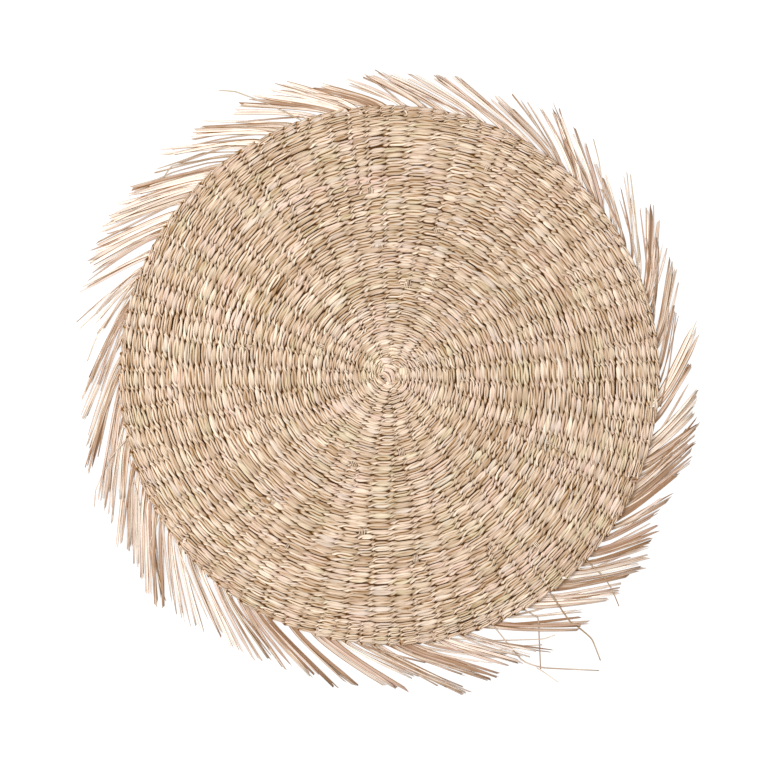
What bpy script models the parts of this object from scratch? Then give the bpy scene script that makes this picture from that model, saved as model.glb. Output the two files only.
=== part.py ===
"""A round seagrass placemat: a flat twined disc, and the spoke ends left as a swept fringe.

The mat lies on z = 0, +Z up, in metres. The origin is the middle of the underside. Angles run
counter-clockwise from +X as seen from above, and so does the sweep of the fringe.
"""

import math
import random

import bmesh
import bpy
from mathutils import Vector

OBJECT_NAME = "seagrass_placemat"
MM = 0.001

# Driving sizes
DISC_RADIUS = 190 * MM
DISC_THICKNESS = 3.8 * MM
FRINGE_THICKNESS = 1.2 * MM
PIECE_GAP = 0.3 * MM

# The twined rows. The weaver's strands are finer at the hub and packed again at the rim.
# Each band of rows ends at a radius, has one row pitch, and as many facets round as its spokes need.
HUB_RADIUS = 9 * MM
ROW_BANDS = (
    {"ends_at": 20 * MM, "row_pitch": 2.5 * MM, "facets": 12},
    {"ends_at": 38 * MM, "row_pitch": 3.0 * MM, "facets": 12},
    {"ends_at": 72 * MM, "row_pitch": 3.5 * MM, "facets": 24},
    {"ends_at": 94 * MM, "row_pitch": 3.7 * MM, "facets": 24},
    {"ends_at": 175 * MM, "row_pitch": 3.86 * MM, "facets": 48},
    {"ends_at": 187 * MM, "row_pitch": 3.0 * MM, "facets": 48},
)
FURROW_DEPTH = 0.8 * MM
HUB_SAG = 0.5 * MM

# The closing row, a cord-like bead round the rim: its wall from the underside up and over.
RIM_WALL = (
    {"inset": 3.0 * MM, "height": DISC_THICKNESS - FURROW_DEPTH},
    {"inset": 1.6 * MM, "height": DISC_THICKNESS - 0.1 * MM},
    {"inset": 0.3 * MM, "height": 2.9 * MM},
    {"inset": 0.0 * MM, "height": 1.6 * MM},
    {"inset": 0.5 * MM, "height": 0.0 * MM},
)

# How far the hand-woven outline strays from a circle: waves round the rim.
OUTLINE_WAVES = (
    {"waves": 2, "swing": 0.4 * MM, "crest_at": -60},
    {"waves": 3, "swing": 0.5 * MM, "crest_at": -42},
    {"waves": 5, "swing": 0.5 * MM, "crest_at": -22},
    {"waves": 8, "swing": 0.3 * MM, "crest_at": 11},
)

# The fringe, one row for each 30 degrees of rim. Reach is the distance of the cut ends from the
# middle, lean is the angle at which the locks leave the rim, and locks gives the size of each
# clump, with one lock's room left open between clumps.
SECTOR_DEGREES = 30
FRINGE_SECTORS = (
    {"starts_at": 0, "reach": 218 * MM, "lean": 29, "locks": (4, 5, 4)},
    {"starts_at": 30, "reach": 215 * MM, "lean": 27, "locks": (5, 3, 5)},
    {"starts_at": 60, "reach": 214 * MM, "lean": 26, "locks": (6, 4, 3)},
    {"starts_at": 90, "reach": 219 * MM, "lean": 28, "locks": (5, 4, 4)},
    {"starts_at": 120, "reach": 221 * MM, "lean": 29, "locks": (5, 5, 3)},
    {"starts_at": 150, "reach": 225 * MM, "lean": 27, "locks": (3, 4, 4)},
    {"starts_at": 180, "reach": 223 * MM, "lean": 27, "locks": (5, 6, 3)},
    {"starts_at": 210, "reach": 225 * MM, "lean": 29, "locks": (5, 4, 4)},
    {"starts_at": 240, "reach": 224 * MM, "lean": 29, "locks": (4, 5, 4)},
    {"starts_at": 270, "reach": 224 * MM, "lean": 28, "locks": (6, 4, 3)},
    {"starts_at": 300, "reach": 222 * MM, "lean": 28, "locks": (4, 6, 3)},
    {"starts_at": 330, "reach": 219 * MM, "lean": 28, "locks": (5, 4, 4)},
)
STRIP_WIDTH = 2.2 * MM
STRIP_END_ROOM = 1.4 * MM
STRIP_STEP_DEGREES = 7.5
LOCK_WIDTHS = (1.7 * MM, 2.6 * MM)
LOCK_TIP_SHARES = (0.5, 0.85)
LOCK_SHORTEST_SHARE = 0.72
LOCK_BEND_PER_M = math.radians(190)
LOCK_CUT_SLANT = 1.2 * MM
LOCK_STATIONS = 3
CLUMP_PINCH = math.radians(0.7)
PATH_STEP = 1 * MM
SEED = 38

# Dried seagrass: warm straw for the weave, a little redder and paler for the loose ends.
WEAVE_COLOUR = (0.61, 0.45, 0.32, 1)
FRINGE_COLOUR = (0.64, 0.47, 0.34, 1)
STRAW_ROUGHNESS = 0.62


def clear_scene():
    for thing in list(bpy.data.objects):
        bpy.data.objects.remove(thing, do_unlink=True)


def straw_material(name, colour):
    material = bpy.data.materials.new(name)
    material.use_nodes = True
    shader = material.node_tree.nodes["Principled BSDF"]
    shader.inputs["Base Color"].default_value = colour
    shader.inputs["Roughness"].default_value = STRAW_ROUGHNESS
    shader.inputs["Metallic"].default_value = 0
    return material


def polar(radius, angle):
    return Vector((radius * math.cos(angle), radius * math.sin(angle)))


def rim_radius(angle):
    """The disc's radius at an angle, with the slight unevenness of handwork."""
    strays = (w["swing"] * math.cos(w["waves"] * (angle - math.radians(w["crest_at"])))
              for w in OUTLINE_WAVES)
    return DISC_RADIUS + sum(strays)


def ring(bm, radius, height, facets):
    """The points of one course, which follow the rim's unevenness more the nearer they are to it."""
    share = radius / DISC_RADIUS
    points = []
    for i in range(facets):
        angle = 2 * math.pi * i / facets
        reach = radius + (rim_radius(angle) - DISC_RADIUS) * share ** 2
        points.append(bm.verts.new((*polar(reach, angle), height)))
    return points


def join_rings(bm, inner, outer):
    """A loft between two courses, where the outer one has as many facets or twice as many."""
    count = len(inner)
    for i in range(count):
        after = (i + 1) % count
        if len(outer) == count:
            bm.faces.new((inner[i], outer[i], outer[after], inner[after]))
            continue
        left, middle, right = outer[2 * i], outer[2 * i + 1], outer[2 * after]
        bm.faces.new((inner[i], left, middle))
        bm.faces.new((inner[i], middle, inner[after]))
        bm.faces.new((inner[after], middle, right))


def courses():
    """The ribbed face from the hub out: a furrow, then a crest, for each twined row."""
    top = DISC_THICKNESS
    rows = [(HUB_RADIUS, top - FURROW_DEPTH, ROW_BANDS[0]["facets"])]
    start = HUB_RADIUS
    for band in ROW_BANDS:
        turns = round((band["ends_at"] - start) / band["row_pitch"])
        pitch = (band["ends_at"] - start) / turns
        for turn in range(turns):
            rows.append((start + (turn + 0.5) * pitch, top, band["facets"]))
            rows.append((start + (turn + 1) * pitch, top - FURROW_DEPTH, band["facets"]))
        start = band["ends_at"]
    rows.pop()
    rim = ROW_BANDS[-1]["facets"]
    return rows + [(DISC_RADIUS - w["inset"], w["height"], rim) for w in RIM_WALL]


def build_disc(collection):
    bm = bmesh.new()
    hub_facets = ROW_BANDS[0]["facets"]
    hub_crest = ring(bm, HUB_RADIUS / 2, DISC_THICKNESS, hub_facets)
    middle = bm.verts.new((0, 0, DISC_THICKNESS - HUB_SAG))
    for i in range(hub_facets):
        bm.faces.new((middle, hub_crest[i], hub_crest[(i + 1) % hub_facets]))
    last = hub_crest
    for radius, height, facets in courses():
        course = ring(bm, radius, height, facets)
        join_rings(bm, last, course)
        last = course
    bm.faces.new(tuple(reversed(last)))
    bmesh.ops.recalc_face_normals(bm, faces=bm.faces)
    mesh = bpy.data.meshes.new("woven_disc")
    bm.to_mesh(mesh)
    bm.free()
    mesh.materials.append(straw_material("twined_seagrass", WEAVE_COLOUR))
    collection.objects.link(bpy.data.objects.new("woven_disc", mesh))


def lock_path(root_angle, lean, reach):
    """The middle line of one lock: it leaves the rim at its lean and turns to follow the rim."""
    point = polar(rim_radius(root_angle) + PIECE_GAP + STRIP_WIDTH, root_angle)
    heading = root_angle + math.pi / 2 - lean
    path = [(point, heading)]
    while point.length < reach:
        point = point + polar(PATH_STEP, heading)
        heading += LOCK_BEND_PER_M * PATH_STEP
        path.append((point, heading))
    return path


def lock_sides(path, width, tip_share, slant):
    """The points of a lock's outer side from root to tip, and of its inner side back."""
    outer, inner = [], []
    for station in range(1, LOCK_STATIONS + 1):
        share = station / LOCK_STATIONS
        point, heading = path[round((len(path) - 1) * share)]
        half = width / 2 * (1 - (1 - tip_share) * share ** 2)
        skew = slant if station == LOCK_STATIONS else 0
        outer.append(point + polar(half, heading - math.pi / 2) + polar(skew, heading))
        inner.append(point + polar(half, heading + math.pi / 2) - polar(skew, heading))
    return outer, list(reversed(inner))


def lock_slots(sector):
    """(root angle, pinch) for each lock: its place on the strip, and its turn towards its clump."""
    start = math.radians(sector["starts_at"])
    room = STRIP_END_ROOM / DISC_RADIUS
    places = sum(sector["locks"]) + len(sector["locks"])
    pitch = (math.radians(SECTOR_DEGREES) - 2 * room) / places
    place = 0.0
    for clump in sector["locks"]:
        for i in range(clump):
            yield start + room + (place + 0.5) * pitch, (i - (clump - 1) / 2) * CLUMP_PINCH
            place += 1
        place += 1


def sector_outline(sector, draw):
    """The outline of one strip with its locks, counter-clockwise along its outer edge and back."""
    start = math.radians(sector["starts_at"])
    end = start + math.radians(SECTOR_DEGREES)
    part = PIECE_GAP / 2 / DISC_RADIUS
    inner_edge = PIECE_GAP
    outer_edge = PIECE_GAP + STRIP_WIDTH
    outline = [polar(rim_radius(start) + outer_edge, start + part)]
    for root, pinch in lock_slots(sector):
        lean = math.radians(sector["lean"]) + pinch
        width = draw.uniform(*LOCK_WIDTHS)
        strip_reach = rim_radius(root) + outer_edge
        reach = strip_reach + (sector["reach"] - strip_reach) * draw.uniform(LOCK_SHORTEST_SHARE, 1)
        slant = draw.uniform(-LOCK_CUT_SLANT, LOCK_CUT_SLANT)
        sides = lock_sides(lock_path(root, lean, reach), width, draw.uniform(*LOCK_TIP_SHARES), slant)
        spread = width / 2 / (strip_reach * math.sin(lean))
        outline += [polar(strip_reach, root - spread), *sides[0], *sides[1],
                    polar(strip_reach, root + spread)]
    outline.append(polar(rim_radius(end) + outer_edge, end - part))
    steps = round(SECTOR_DEGREES / STRIP_STEP_DEGREES)
    back = [end - part, *(end - (end - start) * k / steps for k in range(1, steps)), start + part]
    outline += [polar(rim_radius(angle) + inner_edge, angle) for angle in back]
    return outline


def build_fringe(collection, number, sector, material):
    """One parted strip with its locks: a flat outline that lies on z = 0."""
    name = f"fringe_{number:02d}"
    draw = random.Random(SEED + number)
    points = sector_outline(sector, draw)
    curve = bpy.data.curves.new(name, "CURVE")
    curve.dimensions = "2D"
    curve.fill_mode = "BOTH"
    curve.extrude = FRINGE_THICKNESS / 2
    spline = curve.splines.new("POLY")
    spline.points.add(len(points) - 1)
    for spline_point, point in zip(spline.points, points):
        spline_point.co = (*point, 0, 1)
    spline.use_cyclic_u = True
    curve.materials.append(material)
    fringe = bpy.data.objects.new(name, curve)
    fringe.location.z = FRINGE_THICKNESS / 2
    collection.objects.link(fringe)


def main():
    clear_scene()
    collection = bpy.data.collections.new(OBJECT_NAME)
    bpy.context.scene.collection.children.link(collection)
    build_disc(collection)
    fringe_material = straw_material("fringe_seagrass", FRINGE_COLOUR)
    for number, sector in enumerate(FRINGE_SECTORS, start=1):
        build_fringe(collection, number, sector, fringe_material)


main()
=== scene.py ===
# %% [markdown]
# # A round seagrass placemat
# The mat is twined: flat bundles of dried grass run out from the hub as spokes, and two weft
# strands go round and round them in one long spiral, twisting about each other between every two
# spokes. The spoke ends are swept one way at the rim and left as a fringe. This notebook builds
# the weave strand by strand, so that every stitch is a real shape on both faces, and then lays
# the loose blades of the fringe round it. Sizes are in metres and angles in radians, but the
# tables give millimetres and degrees.

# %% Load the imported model
import math
from collections import namedtuple

import bpy
import numpy as np
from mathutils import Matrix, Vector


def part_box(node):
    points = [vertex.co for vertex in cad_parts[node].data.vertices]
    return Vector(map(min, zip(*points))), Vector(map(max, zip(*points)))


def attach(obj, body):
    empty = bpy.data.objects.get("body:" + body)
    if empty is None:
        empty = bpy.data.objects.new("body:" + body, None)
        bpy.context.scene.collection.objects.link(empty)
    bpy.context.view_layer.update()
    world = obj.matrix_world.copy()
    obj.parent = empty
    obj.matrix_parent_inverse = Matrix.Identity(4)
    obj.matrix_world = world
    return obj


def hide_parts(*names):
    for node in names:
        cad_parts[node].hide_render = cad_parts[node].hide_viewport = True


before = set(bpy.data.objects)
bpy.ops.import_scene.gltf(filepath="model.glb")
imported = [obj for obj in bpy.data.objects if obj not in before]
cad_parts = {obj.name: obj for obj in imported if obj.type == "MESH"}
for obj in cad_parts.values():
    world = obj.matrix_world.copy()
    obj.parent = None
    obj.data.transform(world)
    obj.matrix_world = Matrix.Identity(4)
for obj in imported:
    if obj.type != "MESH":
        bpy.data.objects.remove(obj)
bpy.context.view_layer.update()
MM = 0.001
TURN = 2 * math.pi
disc_low, disc_high = (np.array(corner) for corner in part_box("woven_disc"))
DISC_RADIUS = (disc_high - disc_low)[:2].mean() / 2
THICKNESS = disc_high[2]
MIDDLE = THICKNESS / 2


def named_rows(columns, *rows):
    """The rows of a table, with names for its columns."""
    row_kind = namedtuple("Row", columns)
    return [row_kind(*row) for row in rows]


print(f"disc radius {DISC_RADIUS / MM:.1f} mm, thickness {THICKNESS / MM:.1f} mm")

# %% [markdown]
# ## Camera
# The photograph looks straight down from well above, so the camera hangs over the mat with a
# long lens. Its height follows from the width that the picture has to show. It is aimed a few
# millimetres off the hub, because the mat does not lie in the exact middle of the picture.

# %% Camera
PICTURE_WIDTH = 538 * MM
VIEW_CENTRE = (-3.9 * MM, -6.0 * MM)
LENS, SENSOR = 100.0, 36.0
camera_data = bpy.data.cameras.new("camera")
camera_data.lens = LENS
camera_data.sensor_width = SENSOR
camera = bpy.data.objects.new("camera", camera_data)
camera.location = (*VIEW_CENTRE, THICKNESS + PICTURE_WIDTH * LENS / SENSOR)
bpy.context.scene.collection.objects.link(camera)
bpy.context.scene.camera = camera
print(f"camera {camera.location.z:.3f} m above the table")

# %% [markdown]
# ## The spiral of rows
# A weaver starts with fine strands at the hub and changes to fuller ones as the mat grows, so
# the rows are close together in the middle, evenly spaced over most of the disc, and packed
# tight again at the rim. The spacing is a short table of radius and row pitch, and adding it up
# step by step gives the radius of the spiral after any number of turns. The last turn squeezes
# in beside the one before it, and its strands thin out to a tucked end.

# %% Rows
ROW_PITCHES = named_rows(
    "radius spacing",
    (5, 2.7), (14, 2.85), (22, 3.0), (39, 3.2), (56, 3.5), (73, 3.7), (90, 3.86), (166, 3.86),
    (178, 3.3), (188, 2.6),
)
SPIRAL_START = 5.6 * MM
SPIRAL_END = DISC_RADIUS - 2.2 * MM
STEPS_A_TURN = 64
ROW_SWAY = 0.35 * MM
SWAY_LENGTH = 38 * MM
HUB_STEADY_TURNS = 4
RIM_STEADY_TURNS = 2
RIM_SWAY = 0.2
SEED = 38
draw = np.random.default_rng(SEED)


def smooth_noise(places, spacing, rng, rows=1):
    """Soft random values from -1 to 1 along a line, one row for each thing that varies."""
    knots = rng.uniform(-1, 1, (rows, int(places.max() / spacing) + 3))
    at = places / spacing
    low = np.floor(at).astype(int)
    part = at - low
    part = part * part * (3 - 2 * part)
    return knots[:, low] * (1 - part) + knots[:, low + 1] * part


def pitch_at(radius, table=ROW_PITCHES):
    """The spacing that a table gives at this radius."""
    return np.interp(radius, *(np.array(table).T * MM))


def wind_spiral():
    """The radius at the end of each small step of the spiral, and the turns before the last."""
    radii = [SPIRAL_START]
    while radii[-1] < SPIRAL_END:
        radii.append(radii[-1] + pitch_at(radii[-1]) / STEPS_A_TURN)
    full_turns = (len(radii) - 1) / STEPS_A_TURN
    squeeze = pitch_at(radii[-1]) / 2
    last = radii[-1] + squeeze * np.arange(1, STEPS_A_TURN + 1) / STEPS_A_TURN
    return np.append(radii, last), full_turns


spiral, full_turns = wind_spiral()
spiral_turns = np.arange(len(spiral)) / STEPS_A_TURN
spiral_length = np.cumsum(spiral) * TURN / STEPS_A_TURN
fade_in = np.clip(spiral_turns / HUB_STEADY_TURNS, 0, 1)
fade_out = np.clip((spiral_turns[-1] - spiral_turns) / RIM_STEADY_TURNS, RIM_SWAY, 1)
spiral_sway = ROW_SWAY * (fade_in * fade_out) * smooth_noise(spiral_length, SWAY_LENGTH, draw)[0]


def row_place(turns):
    """(radius, room) of the row after so many turns: room is how much the sway widens the row."""
    sway, sway_after, sway_before = (np.interp(turns + k, spiral_turns, spiral_sway) for k in (0, 1, -1))
    return np.interp(turns, spiral_turns, spiral) + sway, (sway_after - sway_before) / 2


print(f"{full_turns:.1f} full turns from {SPIRAL_START / MM:.0f} to {SPIRAL_END / MM:.0f} mm")

# %% [markdown]
# ## The spokes
# The spokes fan out, and once two of them are too far apart the weaver pushes a new one in
# between. The other way to lay them out is to double their number at a few fixed radii, but that
# shows as rings. Here each turn adds spokes where the gap is widest, and all the angles then
# relax a little towards spacing by each spoke's fullness, which bends the columns of stitches
# the way a real mat shows. The table has the places where a new spoke's ends were left showing.

# %% Spokes
NUBS = named_rows(
    "radius angle blades",
    (24, 27, 4), (52, 157, 3), (54, 279, 4), (65, 79, 4), (67, 248, 4), (72, 65, 2), (90, 128, 2),
    (90, 339, 3), (91, 94, 3), (96, 18, 2), (100, 168, 2), (107, 72, 3), (111, 260, 4), (112, 47, 2),
    (121, 227, 4), (121, 337, 2), (129, 123, 3), (130, 278, 4), (131, 96, 4), (139, 300, 3),
    (140, 239, 2), (155, 48, 2), (156, 311, 3), (160, 65, 2),
)
COLUMN_PITCHES = named_rows(
    "radius spacing",
    (9, 8.2), (17, 8.8), (26, 9.8), (40, 11.2), (60, 13.0), (84, 14.0), (115, 14.4), (150, 14.2),
    (181, 13.6), (187, 10.0),
)
FIRST_SPOKES = 7
FIRST_ANGLE = 0.02
FIRST_FULLNESS = (0.8, 1.2)
LATER_FULLNESS = (0.75, 1.25)
GAP_LUCK = (0.85, 1.15)
EVENING_RATE = 0.14


def add_spoke(angles, fullness, wanted=None):
    """Puts a new spoke in the middle of the gap at the wanted angle, or else of the widest gap."""
    ends = np.append(angles, angles[0] + TURN)
    if wanted is None:
        gap = int(np.argmax(np.diff(ends) * draw.uniform(*GAP_LUCK, len(angles))))
    else:
        gap = int(np.searchsorted(angles, wanted)) - 1
    middle = (ends[gap] + ends[gap + 1]) / 2
    return np.insert(angles, gap + 1, middle), np.insert(fullness, gap + 1, draw.uniform(*LATER_FULLNESS))


def even_out(angles, fullness):
    """Moves each spoke but the first a little towards the place that the fullness asks for."""
    before = np.roll(angles, 1)
    before[0] -= TURN
    after = np.roll(angles, -1)
    after[-1] += TURN
    room_before = fullness + np.roll(fullness, 1)
    room_after = fullness + np.roll(fullness, -1)
    ideal = (before * room_after + after * room_before) / (room_before + room_after)
    moved = angles + EVENING_RATE * (ideal - angles)
    moved[0] = angles[0]
    return moved


def fan_spokes(turns):
    """(angles, fullness) of the spokes in each turn of the weft."""
    angles = FIRST_ANGLE + np.arange(FIRST_SPOKES) * TURN / FIRST_SPOKES
    fullness = draw.uniform(*FIRST_FULLNESS, FIRST_SPOKES)
    rows, nubs = [], sorted(NUBS)
    for turn in range(turns):
        radius = np.interp(turn + 0.5, spiral_turns, spiral)
        while nubs and nubs[0].radius * MM < radius:
            angles, fullness = add_spoke(angles, fullness, math.radians(nubs.pop(0).angle))
        while len(angles) < TURN * radius / pitch_at(radius, COLUMN_PITCHES):
            angles, fullness = add_spoke(angles, fullness)
        angles = even_out(angles, fullness)
        rows.append((angles, fullness))
    return rows


spoke_rows = fan_spokes(math.ceil(full_turns) + 1)
crossing_angles = np.concatenate([TURN * turn + row[0] for turn, row in enumerate(spoke_rows)])
crossing_fullness = np.concatenate([row[1] for row in spoke_rows])
print(f"{len(spoke_rows[0][0])} spokes at the hub, {len(spoke_rows[-1][0])} at the rim, "
      f"{len(crossing_angles)} crossings")

# %% [markdown]
# ## Unevenness
# No row of handwork is a true circle. A few slow waves over the face push every row in or out by
# little more than a millimetre, all rows near each other by the same amount, so they never cross.
# The waves are weaker at the hub and at the rim. A second set of waves says where the weave is
# tight or slack.

# %% Unevenness
WAVES = 9
WAVE_SWING = 0.42 * MM
WAVES_A_TURN = (1, 9)
WAVE_LENGTHS = (18 * MM, 60 * MM)
RIM_FADE = 25 * MM
RIM_STRAY = 0.45
HUB_FADE = 4 * RIM_FADE
wave_turns = draw.integers(*WAVES_A_TURN, WAVES)
wave_phase = draw.uniform(0, TURN, WAVES)
wave_lengths = draw.uniform(*WAVE_LENGTHS, WAVES)
wave_start = draw.uniform(0, TURN, WAVES)

PATCHES = 14
PATCH_LENGTHS = (22 * MM, 75 * MM)
patch_pitch = TURN / draw.uniform(*PATCH_LENGTHS, PATCHES)
patch_heading = draw.uniform(0, TURN, PATCHES)
patch_phase = draw.uniform(0, TURN, PATCHES)


def wander(radius, angle):
    """How far the cloth at this place strays outwards."""
    stray = sum(np.cos(n * angle + phase) * np.sin(radius / length + start)
                for n, phase, length, start in zip(wave_turns, wave_phase, wave_lengths, wave_start))
    from_hub = np.clip(radius / HUB_FADE, 0, 1)
    from_rim = np.clip((DISC_RADIUS - radius) / RIM_FADE, RIM_STRAY, 1)
    return WAVE_SWING * stray * from_hub * from_rim


def slackness(radius, angle):
    """From about -1 where the weave is tight to 1 where it is slack."""
    x, y = radius * np.cos(angle), radius * np.sin(angle)
    waves = sum(np.sin(pitch * (x * math.cos(heading) + y * math.sin(heading)) + phase)
                for pitch, heading, phase in zip(patch_pitch, patch_heading, patch_phase))
    return waves / math.sqrt(PATCHES)


def place(radius, angle, height):
    """Points of the cloth in space, with its unevenness."""
    reach = radius + wander(radius, angle)
    return np.stack([reach * np.cos(angle), reach * np.sin(angle), height], axis=-1)


probe = wander(*np.meshgrid(np.linspace(20 * MM, DISC_RADIUS, 60), np.linspace(0, TURN, 90)))
print(f"the rows stray by up to {abs(probe).max() / MM:.2f} mm")

# %% [markdown]
# ## Building tubes
# A strand or a blade is a long flat bundle, so its mesh is a tube: a ring of points round the
# bundle at every step along it, and a quad between each two neighbours. Blender could bevel a
# curve into such a tube, but a curve keeps one section shape, and these bundles change width and
# turn over. Arrays of points fill a mesh quickly, and the same arrays carry values for the
# material: grain is the place along and round the bundle, and the tint says how light and how
# green or rosy the grass is there, and how much shade is painted on it. A map for textures is
# laid out in cells too.

# %% Mesh helpers
Tube = namedtuple("Tube", "points grain tint steps_a_cell")
GRAIN_SLICES = 50
MAP_MARGIN = 0.04
CELL_ASPECT = 0.7
CAP_SPOT = 0.001


def together(*values):
    """Arrays of shapes that fit each other, as one array of vectors."""
    return np.stack(np.broadcast_arrays(*values), axis=-1)


def quads_of(rings, sides):
    """The corners of a tube's quads, facing out, and of its two end caps."""
    ring = np.arange(rings - 1)[:, None] * sides
    side = np.arange(sides)[None, :]
    after = (side + 1) % sides
    quads = np.stack([ring + side, ring + after, ring + sides + after, ring + sides + side], axis=-1)
    return quads.reshape(-1, 4), np.arange(sides)[::-1], (rings - 1) * sides + np.arange(sides)


def cell_map(rings, sides, steps_a_cell, first_cell, across, down):
    """The map's places for a tube's quads: each stretch of the tube fills one cell of a grid."""
    step, side = np.divmod(np.arange((rings - 1) * sides), sides)
    cell = first_cell + step // steps_a_cell
    column, row = cell % across, cell // across
    along = step % steps_a_cell
    corner_along = np.stack([along, along, along + 1, along + 1], axis=-1) / steps_a_cell
    corner_round = np.stack([side, side + 1, side + 1, side], axis=-1) / sides
    u = (column[:, None] + MAP_MARGIN + (1 - 2 * MAP_MARGIN) * corner_along) / across
    v = (row[:, None] + MAP_MARGIN + (1 - 2 * MAP_MARGIN) * corner_round) / down
    return np.stack([u, v], axis=-1).reshape(-1, 2)


def cells_of(tube):
    """How many cells of the map the tube fills."""
    return math.ceil((len(tube.points) - 1) / tube.steps_a_cell)


def tubes_to_object(name, tubes, material):
    """One object from many tubes, with their attributes and map."""
    cells = sum(cells_of(tube) for tube in tubes)
    across = max(1, round(math.sqrt(cells * CELL_ASPECT)))
    down = math.ceil(cells / across)
    corners, sizes, maps, base, cell = [], [], [], 0, 0
    for tube in tubes:
        rings, sides = tube.points.shape[:2]
        quads, near_cap, far_cap = quads_of(rings, sides)
        corners += [quads.ravel() + base, near_cap + base, far_cap + base]
        sizes += [np.full(len(quads), 4), [sides, sides]]
        maps += [cell_map(rings, sides, tube.steps_a_cell, cell, across, down),
                 np.full((2 * sides, 2), CAP_SPOT)]
        base += rings * sides
        cell += cells_of(tube)
    corners, sizes = np.concatenate(corners), np.concatenate(sizes)
    mesh = bpy.data.meshes.new(name)
    mesh.vertices.add(base)
    mesh.vertices.foreach_set("co", np.concatenate([t.points.reshape(-1, 3) for t in tubes]).ravel())
    mesh.loops.add(len(corners))
    mesh.loops.foreach_set("vertex_index", corners)
    mesh.polygons.add(len(sizes))
    mesh.polygons.foreach_set("loop_start", np.cumsum(sizes) - sizes)
    mesh.update(calc_edges=True)
    for kind in ("grain", "tint"):
        values = np.concatenate([getattr(t, kind).reshape(-1, 3) for t in tubes])
        mesh.attributes.new(kind, "FLOAT_VECTOR", "POINT").data.foreach_set("vector", values.ravel())
    layer = mesh.uv_layers.new(name="OFBake", do_init=False)
    layer.uv.foreach_set("vector", np.concatenate(maps).ravel())
    mesh.shade_smooth()
    mesh.materials.append(material)
    thing = bpy.data.objects.new(name, mesh)
    bpy.context.scene.collection.objects.link(thing)
    print(f"{name}: {len(tubes)} tubes, {len(corners) - 2 * len(sizes)} triangles")
    return thing


# %% [markdown]
# ## Writing shaders as sums
# A material is a graph of nodes, but its maths reads best as an expression. This small class
# wraps a socket, so that `light * 0.8 + streak` adds the two Math nodes by itself.

# %% Shader helper
class Shade:
    """A socket of a material's node tree."""

    def __init__(self, tree, socket=None):
        self.tree, self.socket = tree, socket

    def node(self, kind, settings=None, sockets=None, out=0):
        """A new node of this kind: its settings are set first, then its sockets."""
        made = self.tree.nodes.new(kind)
        settings = dict(settings or {})
        stops = settings.pop("stops", ())
        for name, value in settings.items():
            setattr(made, name, value)
        if stops:
            while len(made.color_ramp.elements) < len(stops):
                made.color_ramp.elements.new(0.5)
            for element, (at, colour) in zip(made.color_ramp.elements, stops):
                element.position, element.color = at, colour
        for name, value in (sockets or {}).items():
            if isinstance(value, Shade):
                self.tree.links.new(value.socket, made.inputs[name])
            else:
                made.inputs[name].default_value = value
        return Shade(self.tree, made.outputs[out])

    def maths(self, operation, *values):
        return self.node("ShaderNodeMath", {"operation": operation}, dict(enumerate(values)))

    def clamp(self):
        return self.node("ShaderNodeClamp", sockets={0: self})

    def smooth(self, low, high):
        """0 below low and 1 above high, with a soft step between."""
        return self.node("ShaderNodeMapRange", {"interpolation_type": "SMOOTHSTEP"},
                         {0: self, 1: low, 2: high})

    def mix(self, one, other):
        """One colour where this is 0 and the other where it is 1."""
        return self.node("ShaderNodeMix", {"data_type": "RGBA"}, {0: self, 6: one, 7: other}, out=2)

    def tinge(self, kind):
        """How strongly a tinge of this kind shows."""
        return self.smooth(kind.low, kind.high) * kind.strength

    def noise(self, kind):
        """Soft noise of this kind: its stretch is how many times a metre it changes on each axis."""
        spot = self.node("ShaderNodeVectorMath", {"operation": "MULTIPLY"}, {0: self, 1: kind.stretch})
        return self.node("ShaderNodeTexNoise", sockets={
            "Vector": spot, "Scale": 1.0, "Detail": kind.detail, "Roughness": kind.roughness})

    def __add__(self, other):
        return self.maths("ADD", self, other)

    def __sub__(self, other):
        return self.maths("SUBTRACT", self, other)

    def __rsub__(self, other):
        return self.maths("SUBTRACT", other, self)

    def __mul__(self, other):
        return self.maths("MULTIPLY", self, other)

    __radd__ = __add__


def new_material(name):
    """An empty node material, as a Shade to start from, and its Principled shader."""
    material = bpy.data.materials.new(name)
    material.use_nodes = True
    return material, Shade(material.node_tree), material.node_tree.nodes["Principled BSDF"]


# %% [markdown]
# ## Dried seagrass
# Seagrass dries to a warm straw colour that drifts along every blade from cream to tan, with
# khaki, rosy and grey stretches. Fine fibres run along it, so the noise that draws them is
# stretched along the grain. Thin splits part the fibres, and the shade in them is painted on as
# brown lines: they are drawn where one slow noise passes its middle value, which gives long lines
# that wander and never cross. Shade is painted on too where a strand turns down into a furrow and
# at a blade's curled edges: the colour goes to a warm brown there first, and to a deep one at the
# bottom.

# %% Seagrass material
PALE = (0.61, 0.54, 0.475, 1)
FLAX = (0.412, 0.342, 0.276, 1)
BRONZE = (0.16, 0.09, 0.05, 1)
CREAM = (0.55, 0.452, 0.357, 1)
STRAW = (0.366, 0.271, 0.193, 1)
TAN = (0.225, 0.145, 0.085, 1)
KHAKI = (0.36, 0.315, 0.20, 1)
ROSE = (0.47, 0.34, 0.29, 1)
SILVER = (0.41, 0.355, 0.315, 1)
# The next three tones are painted shade, for furrows, splits and curled edges.
COPPER_SHADE = (0.28, 0.15, 0.08, 1)
RUSSET_SHADE = (0.205, 0.104, 0.032, 1)
UMBER_SHADE = (0.052, 0.0185, 0.002, 1)
RUST = (0.26, 0.11, 0.04, 1)
Noise = namedtuple("Noise", "stretch detail roughness")
FIBRE = Noise((55, 1900, 1), 3.0, 0.6)
STREAK = Noise((28, 800, 1), 2.0, 0.55)
DRIFT = Noise((60, 120, 1), 2.0, 0.5)
SILVERED = Noise((14, 90, 3), 1.0, 0.5)
FLECK = Noise((110, 900, 1), 2.0, 0.5)
SPLIT = Noise((40, 420, 1), 1.0, 0.5)
Tinge = namedtuple("Tinge", "low high strength")
HUE_TINGE = Tinge(0.1, 1.0, 0.55)
SILVER_TINGE = Tinge(0.52, 0.70, 0.5)
RUST_TINGE = Tinge(0.66, 0.76, 0.45)
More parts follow.
